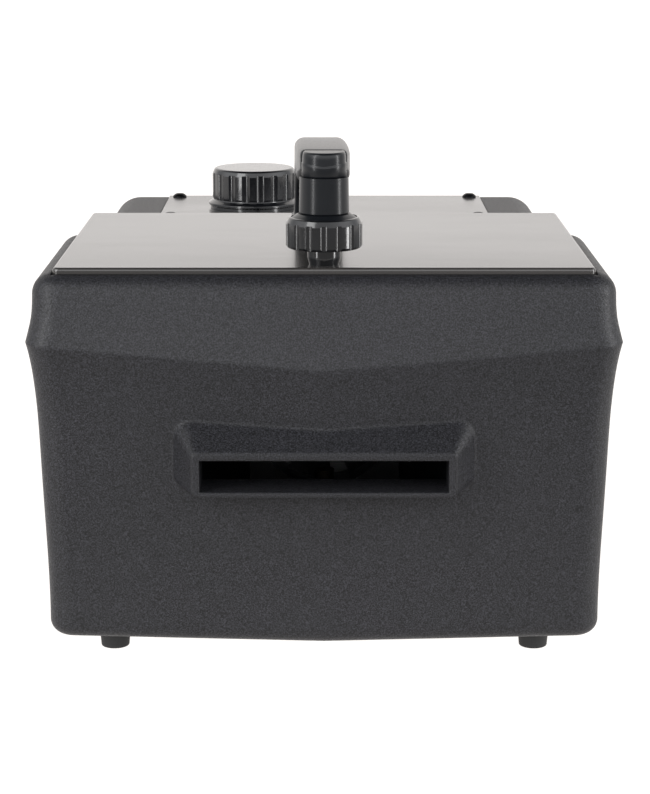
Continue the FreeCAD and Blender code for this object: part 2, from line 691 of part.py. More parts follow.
# ---------------------------------------------------------------- tank, neck and cap
def tank():
    rounds = rectangle("tank_left", "tank_right", "tank_front", "tank_back", "tank_round")
    owner = body()
    pad(owner, outline(sketch_on(owner, "XY_Plane", "tank_low"), rounds),
        "tank_high - tank_low")
    doc.recompute()
    inner = rectangle("tank_left + tank_wall", "tank_right - tank_wall",
                      "tank_front + tank_wall", "tank_back - tank_wall",
                      "tank_round - tank_wall")
    hollow = body()
    pad(hollow, outline(sketch_on(hollow, "XY_Plane", "tank_low + tank_wall"), inner),
        "tank_high - tank_low - tank_wall * 2")
    mouth = rod("neck_bore", "tank_wall + 2", "cap_x", "cap_y", "tank_high - tank_wall - 1")
    outlet = rod("2.5", "tank_wall + 2", "0", "tank_front - 1", "pump_z", "y")
    keep(cut(owner, hollow, mouth, outlet), "fluid_tank")

    tube = revolve([
        ("neck_bore", "tank_high"), ("neck_radius + 4", "tank_high"),
        ("neck_radius + 4", "tank_high + 2"), ("neck_radius", "tank_high + 2"),
        ("neck_radius", "neck_end"), ("neck_bore", "neck_end")], "cap_x", "cap_y")
    clamp = revolve([
        ("neck_radius + 0.05", "deck_top + 0.1"), ("cap_rim - 1", "deck_top + 0.1"),
        ("cap_rim - 1", "cap_low - 0.6"), ("neck_radius + 0.05", "cap_low - 0.6")],
        "cap_x", "cap_y")
    keep(group(tube, clamp), "filler_neck")

    cap = revolve([
        ("cap_bore", "0"), ("cap_rim", "0"), ("cap_rim", "1.4", "0.6"),
        ("cap_radius - 0.6", "3.4", "0.8"), ("cap_radius", "5"), ("cap_radius", "cap_high - cap_low - 3.7"),
        ("cap_radius - 1.6", "cap_high - cap_low", "2"), ("0", "cap_high - cap_low"),
        ("0", "cap_ceiling - cap_low"), ("cap_bore", "cap_ceiling - cap_low")],
        "cap_x", "cap_y", "cap_low")
    ring_of_flutes(cap, "3.8", "cap_high - cap_low - 2.9", "cap_radius + 3.2", "4.2",
                   "cap_ribs")
    keep(cap, "tank_cap")
    keep(revolve([("neck_bore - 1", "neck_end + 0.1"), ("neck_radius + 0.1", "neck_end + 0.1"),
                  ("neck_radius + 0.1", "cap_ceiling - 0.05"),
                  ("neck_bore - 1", "cap_ceiling - 0.05")], "cap_x", "cap_y"), "cap_gasket")

    sheet_t = "1.5"
    outer = box("tank_left - 0.2 - %s" % sheet_t, "tank_right + 0.2 + %s" % sheet_t, "90", "110",
                "pan_low + pan_sheet", "tank_high + 0.2 + %s" % sheet_t)
    gap = box("tank_left - 0.2", "tank_right + 0.2", "89", "111", "pan_low", "tank_high + 0.2")
    rests = [box("tank_left + 8", "tank_right - 8", y, y + " + 12", "pan_low + pan_sheet",
                 "tank_low") for y in ("45", "165")]
    keep(group(cut(outer, gap), *rests), "tank_supports")


# ---------------------------------------------------------------- fog works
def duct_form(inset):
    owner = body()
    low = "slot_low - duct_wall + " + inset
    high = "slot_high + duct_wall - " + inset
    half = "slot_half + duct_wall - " + inset
    middle = "(slot_low + slot_high) / 2"
    reach = "(fan_half - %s)" % inset
    front = outline(sketch_on(owner, "XZ_Plane", "-duct_front"),
                    rectangle("-(%s)" % half, half, low, high))
    back = outline(sketch_on(owner, "XZ_Plane", "-duct_back"),
                   rectangle("-" + reach, reach, "%s - %s" % (middle, reach),
                             "%s + %s" % (middle, reach)))
    loft(owner, [front, back], True)
    return owner


def fog_works():
    nozzle_hole = rod("nozzle + 0.3", "40", "nozzle_x", "nozzle_y", "60")
    keep(cut(duct_form("0"), duct_form("duct_wall"), nozzle_hole), "outlet_duct")

    middle = "(slot_low + slot_high) / 2"
    frame = box("-fan_half", "fan_half", "duct_back", "duct_back + fan_depth",
                middle + " - fan_half", middle + " + fan_half")
    frame = round_edges(frame, "4", along("y"))
    bore = rod("fan_bore", "fan_depth - 2", "0", "duct_back - 1", middle, "y")
    back = "duct_back + fan_depth"
    ring_gap = cut(rod("fan_bore", "4", "0", back + " - 3.5", middle, "y"),
                   rod("fan_hub + 1", "6", "0", back + " - 4", middle, "y"),
                   box("-fan_bore - 1", "fan_bore + 1", back + " - 4", back + " + 1",
                       middle + " - 2", middle + " + 2"),
                   box("-2", "2", back + " - 4", back + " + 1",
                       middle + " - fan_bore - 1", middle + " + fan_bore + 1"))
    housing = cut(frame, bore, ring_gap)
    axle = rod("2.5", "14", "0", back + " - 17", middle, "y")
    keep(fuse(housing, axle), "fan_housing")

    wheel = body()
    pad(wheel, circle(sketch_on(wheel, "XY_Plane"), "0", "0", "fan_hub"), "16")
    doc.recompute()
    root = outline(sketch_on(wheel, "YZ_Plane", "fan_hub - 2"), [
        ("-6", "2.6"), ("-5", "1.6"), ("6", "13.4"), ("5", "14.4")])
    tip = outline(sketch_on(wheel, "YZ_Plane", "fan_blade"), [
        ("-12", "4.6"), ("-11", "3.6"), ("12", "11.4"), ("11", "12.4")])
    blade = loft(wheel, [root, tip], True)
    doc.recompute()
    polar_pattern(wheel, blade, "fan_blades")
    axle_hole = circle(sketch_on(wheel, "XY_Plane", "4"), "0", "0", "2.55")
    doc.recompute()
    pocket(wheel, axle_hole, "13", reverse=True)
    wheel.Placement = Placement(Vector(), TURN["y"])
    place(wheel, "0", "duct_back + 3", middle)
    keep(wheel, "fan_impeller")

    block = box("-heater_half", "heater_half", "heater_front", "heater_back", "heater_low",
                "heater_high")
    stem = rod("2.5", "20", "heater_half - 10", "heater_back - 38", "pump_z", "x")
    keep(cut(round_edges(block, "5", along("z")), stem), "heater_block")
    wrap = box("-(heater_half + lagging)", "heater_half + lagging", "heater_front - lagging",
               "heater_back + lagging", "heater_low", "heater_high + lagging")
    room = round_edges(box("-heater_half", "heater_half", "heater_front", "heater_back",
                           "heater_low - 1", "heater_high"), "5", along("z"))
    hole = rod("2.7", "20", "heater_half - 2", "heater_back - 38", "pump_z", "x")
    sensor_hole = rod("8.2", "20", "heater_half - 2", "heater_front + 18", "pump_z", "x")
    keep(cut(wrap, room, hole, sensor_hole, rod("nozzle", "20", "nozzle_x", "nozzle_y", "50")),
         "heater_lagging")
    feet = [box(x, x + " + 16", "heater_front + 4", "heater_back - 4", "pan_low + pan_sheet",
                "heater_low") for x in ("-48", "32")]
    keep(group(*feet), "heater_stands")
    keep(rod("8", "8", "heater_half", "heater_front + 18", "pump_z", "x"), "thermal_switch")
    pipe = rod("nozzle", "36", "nozzle_x", "nozzle_y", "heater_high")
    tip = rod("nozzle - 2", "32", "nozzle_x", "nozzle_y", "heater_high")
    mouth = rod("1.6", "8", "nozzle_x", "nozzle_y - 8", "heater_high + 31", "y")
    keep(cut(pipe, tip, mouth), "fog_nozzle")


def pump():
    length = "pump_back - pump_front"
    tube = rod("9", length, "pump_x", "pump_front", "pump_z", "y")
    ends = [hexagon("11", "8", "pump_x", y, "pump_z", "y")
            for y in ("pump_front", "pump_back - 8")]
    bore = rod("2.5", length + " + 2", "pump_x", "pump_front - 1", "pump_z", "y")
    keep(cut(fuse(tube, *ends), bore), "pump_body")
    coil = box("pump_x - 18", "pump_x + 18", "pump_front + 14", "pump_back - 14",
               "pump_z - 18", "pump_z + 18")
    keep(cut(round_edges(coil, "4", along("y")),
             rod("9", "60", "pump_x", "pump_front", "pump_z", "y")), "pump_coil")
    keep(box("pump_x - 14", "pump_x + 14", "pump_front + 16", "pump_back - 16",
             "pan_low + pan_sheet", "pump_z - 18"), "pump_bracket")


def hose(name, radius, points, bend):
    """Hose along level straight runs joined by tangent arcs of one radius."""
    spots = [Vector(size(x), size(y), size("pump_z")) for x, y in points]
    turn = size(bend)
    edges = []
    start = spots[0]
    for before, corner, after in zip(spots, spots[1:], spots[2:]):
        back = (before - corner).normalize()
        ahead = (after - corner).normalize()
        enter = corner + back * turn
        leave = corner + ahead * turn
        middle = corner + (back + ahead) * turn - (back + ahead).normalize() * turn
        edges.append(Part.LineSegment(start, enter).toShape())
        edges.append(Part.Arc(enter, middle, leave).toShape())
        start = leave
    edges.append(Part.LineSegment(start, spots[-1]).toShape())
    path = Part.Wire(edges)
    ring = Part.Wire(Part.Circle(spots[0], spots[1] - spots[0], size(radius)).toShape())
    feature = doc.addObject("Part::Feature", "Hose")
    feature.Shape = path.makePipeShell([ring], True, False)
    keep(feature, name)


def hoses():
    hose("suction_hose", "4", [("0", "tank_front"), ("0", "tank_front - 18"),
                               ("pump_x", "tank_front - 18"), ("pump_x", "pump_back")], "14")
    hose("delivery_pipe", "2.4", [("pump_x", "pump_front"), ("pump_x", "heater_back - 38"),
                                  ("heater_half", "heater_back - 38")], "18")


# ---------------------------------------------------------------- rear panel
def xlr(name, x, female):
    face = "panel_face"
    flange = box(x + " - 13", x + " + 13", face, face + " + 2", "xlr_z - 15.5", "xlr_z + 15.5")
    flange = round_edges(flange, "3", along("y"))
    barrel = rod("11.4", "22", x, face + " - 20", "xlr_z", "y")
    shell = fuse(flange, barrel)
    if female:
        pins = [rod("1.6", "14", x + " + 4 * cos(%d)" % a, face + " - 11",
                    "xlr_z + 4 * sin(%d)" % a, "y") for a in (150, 30, 270)]
        tab_slot = box(x + " - 3.3", x + " + 3.3", face + " - 8",
                       face + " + 3", "xlr_z + 5.8", "xlr_z + 11.2")
        keep(cut(shell, *pins, tab_slot), name)
        return
    bore = rod("9.3", "16", x, face + " - 13", "xlr_z", "y")
    socket = cut(shell, bore)
    pins = [rod("1.2", "11.6", x + " + 4 * cos(%d)" % a, face + " - 13.5",
                "xlr_z + 4 * sin(%d)" % a, "y") for a in (150, 30, 270)]
    keep(fuse(socket, *pins), name)


def rear_panel():
    plate = box("-panel_half", "panel_half", "panel_face - panel_sheet", "panel_face",
                "panel_low", "panel_high")
    face = "panel_face - 4"
    cuts = [
        box("inlet_x - 14.2", "inlet_x + 14.2", face, "panel_face + 1", "inlet_z - 10.7",
            "inlet_z + 10.7"),
        box("switch_x - 10.2", "switch_x + 10.2", face, "panel_face + 1", "switch_z - 14.2",
            "switch_z + 14.2"),
        box("display_x - 31", "display_x + 31", face, "panel_face + 1", "display_z - 13",
            "display_z + 13"),
        rod("7.1", "6", "fuse_x", face, "fuse_z", "y"),
        rod("11.5", "6", "xlr_in_x", face, "xlr_z", "y"),
        rod("11.5", "6", "xlr_out_x", face, "xlr_z", "y"),
    ]
    for i in range(4):
        cuts.append(rod("button + 0.3", "6", "display_x + button_pitch * %s" % (i - 1.5), face,
                        "buttons_z", "y"))
    keep(cut(plate, group(*cuts)), "control_panel")

    body_block = box("inlet_x - 14", "inlet_x + 14", "panel_face - 24", "panel_face",
                     "inlet_z - 10.5", "inlet_z + 10.5")
    flange = round_edges(box("inlet_x - 25", "inlet_x + 25", "panel_face", "panel_face + 3",
                             "inlet_z - 14", "inlet_z + 14"), "5", along("y"))
    cavity = round_edges(box("inlet_x - 12.2", "inlet_x + 12.2", "panel_face - 14",
                             "panel_face + 4", "inlet_z - 8.1", "inlet_z + 8.1"), "2.5",
                         along("y"))
    keep(cut(fuse(body_block, flange), cavity), "power_inlet")
    pins = [box(x + " - 1", x + " + 1", "panel_face - 14", "panel_face - 0.5",
                "inlet_z - 2", "inlet_z + 2")
            for x in ("inlet_x - 7", "inlet_x", "inlet_x + 7")]
    keep(group(*pins), "inlet_pins")

    holder = fuse(rod("7", "22", "fuse_x", "panel_face - 20", "fuse_z", "y"),
                  rod("9", "2", "fuse_x", "panel_face", "fuse_z", "y"))
    keep(cut(holder, rod("5.6", "22", "fuse_x", "panel_face - 16", "fuse_z", "y")),
         "fuse_holder")
    cap = fuse(rod("5.3", "14", "fuse_x", "panel_face - 12", "fuse_z", "y"),
               rod("6.6", "3.2", "fuse_x", "panel_face + 2.2", "fuse_z", "y"))
    notch = box("fuse_x - 4.5", "fuse_x + 4.5", "panel_face + 4.4", "panel_face + 6",
                "fuse_z - 0.7", "fuse_z + 0.7")
    keep(cut(cap, notch), "fuse_cap")

    frame = fuse(box("switch_x - 10", "switch_x + 10", "panel_face - 16", "panel_face",
                     "switch_z - 14", "switch_z + 14"),
                 round_edges(box("switch_x - 12", "switch_x + 12", "panel_face",
                                 "panel_face + 1.6", "switch_z - 16", "switch_z + 16"), "1.5",
                             along("y")))
    well = box("switch_x - 8", "switch_x + 8", "panel_face - 11", "panel_face + 2",
               "switch_z - 11.6", "switch_z + 11.6")
    keep(cut(frame, well), "switch_frame")
    rocker = body()
    side = outline(sketch_on(rocker, "YZ_Plane"), [
        ("-5", "-7.5"), ("0.5", "-10.6"), ("3.2", "-10.2", "0.6"), ("1.6", "0", "8"),
        ("3.2", "10.2", "0.6"), ("0.5", "10.6"), ("-5", "7.5")])
    pad(rocker, side, "15.4", "Symmetric")
    rocker.Placement = Placement(Vector(), Rotation(Vector(1, 0, 0), 8))
    place(rocker, "switch_x", "panel_face - 1", "switch_z")
    trunnion = rod("1.6", "15.9", "switch_x - 7.95", "panel_face - 1", "switch_z", "x")
    keep(fuse(rocker, trunnion), "power_rocker")

    xlr("dmx_input", "xlr_in_x", False)
    xlr("dmx_output", "xlr_out_x", True)
    keep(box("xlr_out_x - 3", "xlr_out_x + 3", "panel_face - 6", "panel_face + 3.6",
             "xlr_z + 7.6", "xlr_z + 10.8"), "latch_tab")

    display = box("display_x - 36", "display_x + 36", "panel_face - 12",
                  "panel_face - panel_sheet", "display_z - 18", "display_z + 18")
    keep(box("display_x - 30.7", "display_x + 30.7", "panel_face - panel_sheet",
             "panel_face + 0.4", "display_z - 12.7", "display_z + 12.7"), "display_window")
    switches = box("display_x - 36", "display_x + 36", "panel_face - 14", "panel_face - 9",
                   "buttons_z - 8", "buttons_z + 8")
    web = box("display_x - 36", "display_x + 36", "panel_face - 14", "panel_face - 12",
              "buttons_z - 8", "display_z + 18")
    keep(fuse(display, switches, web), "display_board")
    names = ("menu_button", "down_button", "up_button", "enter_button")
    for i, name in enumerate(names):
        x = "display_x + button_pitch * %s" % (i - 1.5)
        stem = rod("button", "10", x, "panel_face - 7.2", "buttons_z", "y")
        collar = rod("button + 1.4", "1.5", x, "panel_face - 7.2", "buttons_z", "y")
        keep(fuse(stem, collar), name)


def electronics():
    board = box("40", "118", "40", "170", "30", "31.6")
    posts = [rod("3", "30 - pan_low - pan_sheet", x, y, "pan_low + pan_sheet")
             for x in ("46", "112") for y in ("46", "164")]
    keep(group(*posts), "board_standoffs")
    transformer = round_edges(box("48", "92", "60", "100", "31.6", "72"), "3", along("z"))
    keep(fuse(board, transformer), "power_board")


def feet():
    for name, x, y in (("foot_front_left", "-foot_x", "foot_front"),
                       ("foot_front_right", "foot_x", "foot_front"),
                       ("foot_rear_left", "-foot_x", "foot_rear"),
                       ("foot_rear_right", "foot_x", "foot_rear")):
        keep(revolve([("4", "0"), ("foot_bottom", "0", "0.8"), ("foot_top", "foot_height"),
                      ("2.2", "foot_height"), ("2.2", "6"), ("4", "6")], x, y), name)
    screws = []
    for x in ("-foot_x", "foot_x"):
        for y in ("foot_front", "foot_rear"):
            screws.append(fuse(rod("3.8", "2.4", x, y, "3.6"), rod("2", "18", x, y, "5")))
    keep(group(*screws), "foot_screws")


def build():
    front_cover()
    rear_cover()
    chassis()
    bulkhead()
    deck()
    lid()
    hinge()
    lock()
    handle()
    tank()
    fog_works()
    pump()
    hoses()
    rear_panel()
    electronics()
    feet()
    doc.recompute()


def check_and_export():
    for item in doc.Objects:
        if "Invalid" in item.State or "Error" in item.State:
            raise RuntimeError("%s did not build" % item.Label)
    os.makedirs("parts", exist_ok=True)
    for name, item in NODES.items():
        if item.Shape.isNull() or not item.Shape.isValid():
            raise RuntimeError("%s has no valid shape" % name)
        item.Shape.exportStep("parts/%s.step" % name)


build()
check_and_export()
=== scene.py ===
"""Studio picture of a compact touring fog machine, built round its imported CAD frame."""

import json
import math

import bmesh
import bpy
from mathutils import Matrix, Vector


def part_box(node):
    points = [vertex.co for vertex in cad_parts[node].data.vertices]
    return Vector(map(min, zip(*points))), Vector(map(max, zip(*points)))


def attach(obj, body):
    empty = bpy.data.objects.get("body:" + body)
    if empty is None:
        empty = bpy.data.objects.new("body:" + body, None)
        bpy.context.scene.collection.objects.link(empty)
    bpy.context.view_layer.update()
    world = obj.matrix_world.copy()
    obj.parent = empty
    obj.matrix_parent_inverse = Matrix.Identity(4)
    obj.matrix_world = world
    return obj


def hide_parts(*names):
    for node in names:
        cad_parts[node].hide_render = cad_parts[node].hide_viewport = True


MM = 0.001

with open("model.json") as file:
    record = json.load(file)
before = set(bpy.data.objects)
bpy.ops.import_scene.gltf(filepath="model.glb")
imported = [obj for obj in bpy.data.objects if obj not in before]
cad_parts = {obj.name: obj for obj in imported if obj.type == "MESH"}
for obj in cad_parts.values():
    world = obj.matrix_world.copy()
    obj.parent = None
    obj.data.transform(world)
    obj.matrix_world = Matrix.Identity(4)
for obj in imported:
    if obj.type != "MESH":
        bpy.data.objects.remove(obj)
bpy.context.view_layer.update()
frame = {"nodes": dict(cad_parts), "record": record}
nodes = frame["nodes"]


# ---------------------------------------------------------------- camera
CAMERA_DISTANCE = 1071.1 * MM  # in front of the lid's front edge
CAMERA_HEIGHT = 173.7 * MM  # above the lid
CAMERA_SIDE = 0.7 * MM
CAMERA_PITCH = math.radians(12.475)
CAMERA_YAW = math.radians(0.014)
FOCAL_SHARE = 3.48  # focal length over the picture's width
SENSOR = 36.0


def add_camera():
    lid_low, lid_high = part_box("lid")
    data = bpy.data.cameras.new("camera")
    data.sensor_fit = "HORIZONTAL"
    data.sensor_width = SENSOR
    data.lens = SENSOR * FOCAL_SHARE
    data.clip_end = 50
    camera = bpy.data.objects.new("camera", data)
    camera.location = (CAMERA_SIDE, lid_low.y - CAMERA_DISTANCE, lid_high.z + CAMERA_HEIGHT)
    camera.rotation_euler = (math.pi / 2 - CAMERA_PITCH, 0, CAMERA_YAW)
    bpy.context.scene.collection.objects.link(camera)
    bpy.context.scene.camera = camera


# ---------------------------------------------------------------- material nodes
EDGE_ROUND = 2.5 * MM  # radius that the shading gives to the edges of the covers
GRAIN_SCALE = 1400  # noise scales are cells in a metre
PEBBLE_SCALE = 850
GRAIN_DEPTH = 0.2 * MM
PEBBLE_DEPTH = 0.35 * MM
SPECKLE_SHARE = 0.55  # how much of the plastic's colour comes from its grain
DRAWN_STRETCH = (1, 1, 20)  # squeezes noise along Z into the fine lines of drawn metal
YARN_SCALE = 260


class Shader:
    """A small helper that adds and links nodes of one material."""

    def __init__(self, name):
        self.material = bpy.data.materials.new(name)
        self.material.use_nodes = True
        self.tree = self.material.node_tree
        self.surface = self.tree.nodes["Principled BSDF"]
        self.place = self.add("ShaderNodeTexCoord").outputs["Object"]

    def add(self, kind, **inputs):
        node = self.tree.nodes.new(kind)
        for name, value in inputs.items():
            self.put(node.inputs[name.replace("_", " ")], value)
        return node

    def put(self, socket, value):
        if isinstance(value, bpy.types.NodeSocket):
            self.tree.links.new(value, socket)
        else:
            socket.default_value = value

    def set(self, **inputs):
        for name, value in inputs.items():
            self.put(self.surface.inputs[name.replace("_", " ")], value)

    def noise(self, scale, detail=2.0, roughness=0.5, stretch=None):
        place = self.place
        if stretch:
            mapping = self.add("ShaderNodeMapping", Vector=place, Scale=stretch)
            place = mapping.outputs["Vector"]
        node = self.add("ShaderNodeTexNoise", Vector=place, Scale=scale, Detail=detail,
                        Roughness=roughness)
        return node.outputs["Fac"]

    def ramp(self, factor, low, high, start=0.0, end=1.0):
        """Spread a factor between two values or two colours."""
        node = self.add("ShaderNodeValToRGB", Fac=factor)
        node.color_ramp.elements[0].position = start
        node.color_ramp.elements[1].position = end
        node.color_ramp.elements[0].color = as_colour(low)
        node.color_ramp.elements[1].color = as_colour(high)
        return node.outputs["Color"]

    def mix(self, factor, first, second):
        node = self.tree.nodes.new("ShaderNodeMix")
        node.data_type = "RGBA"
        self.put(node.inputs[0], factor)
        self.put(node.inputs[6], first)
        self.put(node.inputs[7], second)
        return node.outputs[2]

    def bump(self, height, strength, distance, under=None):
        node = self.add("ShaderNodeBump", Height=height, Strength=strength, Distance=distance)
        if under is not None:
            self.put(node.inputs["Normal"], under)
        return node.outputs["Normal"]


def as_colour(value):
    """Opaque grey or colour for a node socket."""
    if isinstance(value, (int, float)):
        return (value, value, value, 1)
    return tuple(value) + (1,)


def srgb(red, green, blue):
    """Linear colour of an sRGB triple from 0 to 255."""
    channels = []
    for channel in (red, green, blue):
        share = channel / 255
        channels.append(share / 12.92 if share <= 0.04045 else ((share + 0.055) / 1.055) ** 2.4)
    return tuple(channels)


BLACK = srgb(20, 20, 21)
INK = srgb(30, 30, 32)


def grained_plastic():
    """Spark-eroded charcoal ABS: fine pebble grain over a soft large-scale mottle, with every
    edge rounded in the shading."""
    shader = Shader("moulded_plastic")
    mottle = shader.noise(9, 3)
    grain = shader.noise(GRAIN_SCALE, 2, 0.6)
    pebble = shader.noise(PEBBLE_SCALE, 2, 0.5)
    tint = shader.ramp(mottle, srgb(17, 18, 19), srgb(24, 24, 26), 0.3, 0.7)
    speckle = shader.ramp(grain, srgb(2, 2, 3), srgb(66, 66, 72), 0.4, 0.76)
    shader.set(Base_Color=shader.mix(SPECKLE_SHARE, tint, speckle))
    shader.set(Roughness=shader.ramp(pebble, 0.38, 0.55, 0.3, 0.7))
    shader.set(Specular_IOR_Level=0.29)
    rounded = shader.add("ShaderNodeBevel", Radius=EDGE_ROUND)
    rounded.samples = 6
    fine = shader.bump(grain, 0.6, GRAIN_DEPTH, rounded.outputs["Normal"])
    shader.set(Normal=shader.bump(pebble, 0.6, PEBBLE_DEPTH, fine))
    return shader.material


def satin_coat():
    """Black satin powder coat on sheet steel, with a faint orange peel."""
    shader = Shader("black_steel")
    peel = shader.noise(420, 2, 0.5)
    drift = shader.noise(7, 4, 0.6, (0.35, 1, 1))
    shader.set(Base_Color=shader.ramp(drift, srgb(38, 37, 36), srgb(48, 46, 45), 0.35, 0.65))
    shader.set(Roughness=shader.ramp(drift, 0.2, 0.27, 0.35, 0.65))
    shader.set(Specular_IOR_Level=0.5, Specular_Tint=(1.0, 0.985, 0.97, 1))
    shader.set(Coat_Weight=0.32, Coat_Roughness=0.1)
    shader.set(Normal=shader.bump(peel, 0.06, 0.0001))
    return shader.material


def zinc_sheet():
    """Plated sheet with a faint spangle."""
    shader = Shader("plated_steel")
    spangle = shader.add("ShaderNodeTexVoronoi", Vector=shader.place, Scale=140)
    grain = shader.noise(60, 3, 0.6, (1, 1, 30))
    shader.set(Base_Color=shader.ramp(grain, srgb(150, 152, 155), srgb(186, 188, 190), 0.3, 0.7))
    shader.set(Metallic=1.0)
    shader.set(Roughness=shader.ramp(spangle.outputs["Distance"], 0.28, 0.45, 0.1, 0.7))
    shader.set(Normal=shader.bump(grain, 0.08, 0.0001))
    return shader.material


def metal(name, dark, light, rough_low, rough_high):
    """Bare metal with fine drawing lines."""
    shader = Shader(name)
    lines = shader.noise(90, 3, 0.6, DRAWN_STRETCH)
    shader.set(Base_Color=shader.ramp(lines, dark, light, 0.3, 0.7))
    shader.set(Metallic=1.0)
    shader.set(Roughness=shader.ramp(lines, rough_low, rough_high, 0.3, 0.7))
    shader.set(Normal=shader.bump(lines, 0.1, 0.0001))
    return shader.material


def gloss_plastic(name, dark, light):
    """Injection-moulded gloss plastic with soft sink ripples and faint handling marks."""
    shader = Shader(name)
    ripple = shader.noise(55, 2)
    marks = shader.noise(700, 2, 0.5)
    shader.set(Base_Color=shader.ramp(ripple, dark, light, 0.3, 0.7))
    shader.set(Roughness=shader.ramp(marks, 0.13, 0.22, 0.35, 0.75))
    shader.set(Coat_Weight=0.3, Coat_Roughness=0.06)
    shader.set(Normal=shader.bump(ripple, 0.04, 0.0004))
    return shader.material


def matt_plastic(name, dark, light, rough=0.5):
    """Moulded plastic with a fine matt grain."""
    shader = Shader(name)
    grain = shader.noise(500, 2)
    drift = shader.noise(14, 2)
    shader.set(Base_Color=shader.ramp(drift, dark, light, 0.3, 0.7))
    shader.set(Roughness=shader.ramp(grain, rough - 0.06, rough + 0.08, 0.3, 0.7))
    shader.set(Normal=shader.bump(grain, 0.2, 0.0002))
    return shader.material


def rubber(name, dark, light):
    """Dull rubber or foam with a little dust."""
    shader = Shader(name)
    dust = shader.noise(120, 4, 0.6)
    shader.set(Base_Color=shader.ramp(dust, dark, light, 0.4, 0.7))
    shader.set(Roughness=shader.ramp(dust, 0.62, 0.8, 0.3, 0.7))
    shader.set(Normal=shader.bump(dust, 0.25, 0.0003))
    return shader.material


def tank_plastic():
    """Milky blow-moulded polyethylene."""
    shader = Shader("tank_plastic")
    cloud = shader.noise(18, 3)
    shader.set(Base_Color=shader.ramp(cloud, srgb(206, 208, 202), srgb(226, 227, 222), 0.3, 0.7))
    shader.set(Roughness=shader.ramp(cloud, 0.36, 0.48, 0.3, 0.7))
    shader.set(Subsurface_Weight=0.3, Subsurface_Radius=(0.004, 0.004, 0.004))
    shader.set(Normal=shader.bump(cloud, 0.1, 0.001))
    return shader.material


def glass_cloth():
    """Woven glass lagging: two crossed sets of yarns."""
    shader = Shader("lagging_fabric")
    warp = shader.add("ShaderNodeTexWave", Vector=shader.place, Scale=YARN_SCALE)
    weft = shader.add("ShaderNodeTexWave", Vector=shader.place, Scale=YARN_SCALE)
    weft.bands_direction = "Y"
    both = shader.add("ShaderNodeMath")
    both.operation = "MULTIPLY"
    shader.put(both.inputs[0], warp.outputs["Fac"])
    shader.put(both.inputs[1], weft.outputs["Fac"])
    weave = both.outputs["Value"]
    shader.set(Base_Color=shader.ramp(weave, srgb(176, 168, 146), srgb(222, 216, 198)))
    shader.set(Roughness=0.85)
    shader.set(Normal=shader.bump(weave, 0.6, 0.0006))
    return shader.material


def display_glass():
    """Tinted window over a dark backlit panel."""
    shader = Shader("display_glass")
    haze = shader.noise(30, 2)
    shader.set(Base_Color=shader.ramp(haze, srgb(12, 22, 34), srgb(18, 32, 48), 0.3, 0.7))
    shader.set(Roughness=shader.ramp(haze, 0.05, 0.09, 0.3, 0.7))
    shader.set(Coat_Weight=0.6, Coat_Roughness=0.04)
    return shader.material


def circuit_board():
    """Green solder resist with copper tracks under it."""
    shader = Shader("board_green")
    tracks = shader.add("ShaderNodeTexBrick", Vector=shader.place, Scale=90)
    shader.put(tracks.inputs["Color1"], as_colour(srgb(12, 74, 34)))
    shader.put(tracks.inputs["Color2"], as_colour(srgb(16, 92, 44)))
    shader.put(tracks.inputs["Mortar"], as_colour(srgb(34, 120, 62)))
    shader.set(Base_Color=tracks.outputs["Color"])
    shader.set(Roughness=0.3, Coat_Weight=0.4)
    shader.set(Normal=shader.bump(tracks.outputs["Fac"], 0.3, 0.0002))
    return shader.material


def make_materials():
    """One finished material for every slot of the record."""
    return {
        "moulded_plastic": grained_plastic(),
        "black_steel": satin_coat(),
        "plated_steel": zinc_sheet(),
        "hinge_steel": metal("hinge_steel", srgb(110, 110, 112), srgb(150, 150, 152), 0.3, 0.45),
        "black_screws": metal("black_screws", srgb(26, 26, 27), srgb(44, 44, 46), 0.32, 0.45),
        "soft_foam": rubber("soft_foam", srgb(26, 26, 26), srgb(40, 40, 40)),
        "knob_plastic": gloss_plastic("knob_plastic", srgb(8, 9, 11), srgb(13, 14, 17)),
        "tank_plastic": tank_plastic(),
        "rest_plastic": matt_plastic("rest_plastic", srgb(60, 60, 60), srgb(74, 74, 74)),
        # The duct's aluminium is coloured near black: painted shade, for the shade inside the
        # outlet.
        "duct_aluminium": metal("duct_aluminium", srgb(22, 24, 26), srgb(40, 42, 45),
                                0.45, 0.6),
        "fan_plastic": matt_plastic("fan_plastic", BLACK, INK),
        "lagging_fabric": glass_cloth(),
        "brass": metal("brass", srgb(168, 134, 72), srgb(204, 168, 98), 0.22, 0.36),
        "coil_plastic": matt_plastic("coil_plastic", srgb(36, 36, 40), srgb(50, 50, 54)),
        "hose_rubber": rubber("hose_rubber", srgb(180, 180, 174), srgb(206, 206, 200)),
        "copper_pipe": metal("copper_pipe", srgb(168, 98, 64), srgb(206, 132, 92), 0.22, 0.38),
        "socket_plastic": matt_plastic("socket_plastic", BLACK, INK, 0.42),
        "connector_metal": metal("connector_metal", srgb(70, 70, 73), srgb(96, 96, 100),
                                 0.28, 0.4),
        "display_glass": display_glass(),
        "board_green": circuit_board(),
        "button_plastic": gloss_plastic("button_plastic", srgb(48, 48, 50), srgb(58, 58, 61)),
        "foot_rubber": rubber("foot_rubber", srgb(18, 18, 19), srgb(34, 34, 35)),
    }


def satin_plastic():
    """Smooth satin nylon of the handle."""
    shader = Shader("satin_plastic")
    drift = shader.noise(30, 2)
    marks = shader.noise(900, 2, 0.5)
    shader.set(Base_Color=shader.ramp(drift, srgb(12, 14, 17), srgb(18, 20, 23), 0.3, 0.7))
    shader.set(Roughness=shader.ramp(marks, 0.28, 0.33, 0.35, 0.75))
    shader.set(Specular_IOR_Level=0.22, Coat_Weight=0.1, Coat_Roughness=0.14)
    shader.set(Normal=shader.bump(drift, 0.03, 0.0003))
    return shader.material


